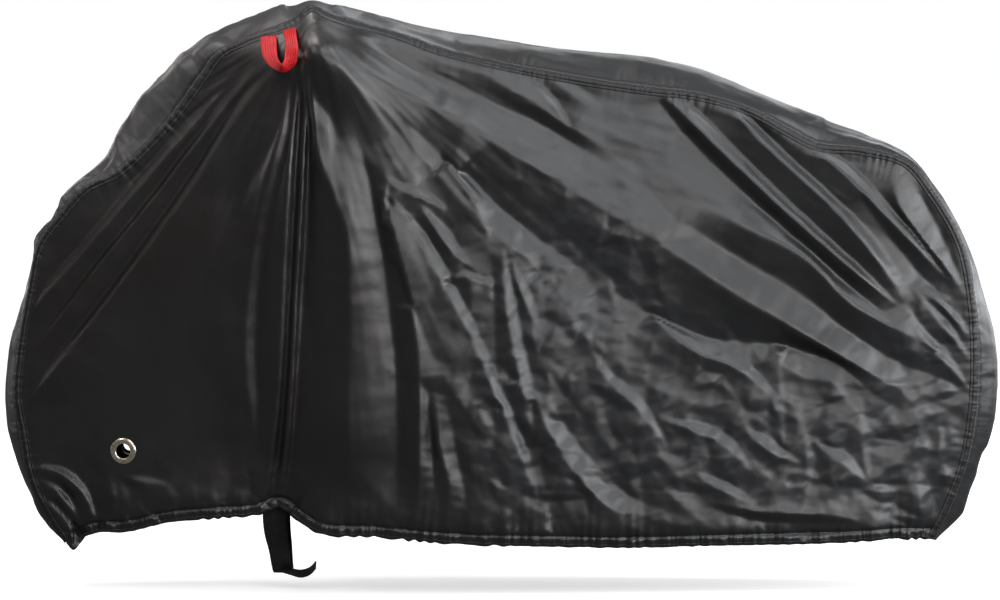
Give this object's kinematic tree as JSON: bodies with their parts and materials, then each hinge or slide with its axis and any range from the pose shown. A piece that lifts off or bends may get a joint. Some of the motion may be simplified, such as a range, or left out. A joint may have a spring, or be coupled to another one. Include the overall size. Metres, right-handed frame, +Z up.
{
  "type": "bicycle cover",
  "caption": "Fitted bicycle cover in black coated cloth, draped over a missing bicycle, with a red pull loop, lock eyelets and a strap under the front wheel.",
  "frame": {"origin": "the point under the top of the cover, in its middle plane, where the handlebar carries it", "axes": "+X from the front wheel towards the rear wheel, +Y away from the near side, +Z up"},
  "size_m": [1.8027, 0.471, 1.0385],
  "materials": {
    "coated_cloth": "satin",
    "strip_cloth": "satin",
    "plated_steel": "polished",
    "red_webbing": "matte",
    "black_webbing": "matte"
  },
  "bodies": {
    "root": {"side_panel_near": "coated_cloth", "side_panel_far": "coated_cloth", "spine_strip": "strip_cloth", "lock_eyelet_near": "plated_steel", "lock_eyelet_far": "plated_steel", "pull_loop": "red_webbing", "hem_strap": "black_webbing"}
  },
  "joints": []
}
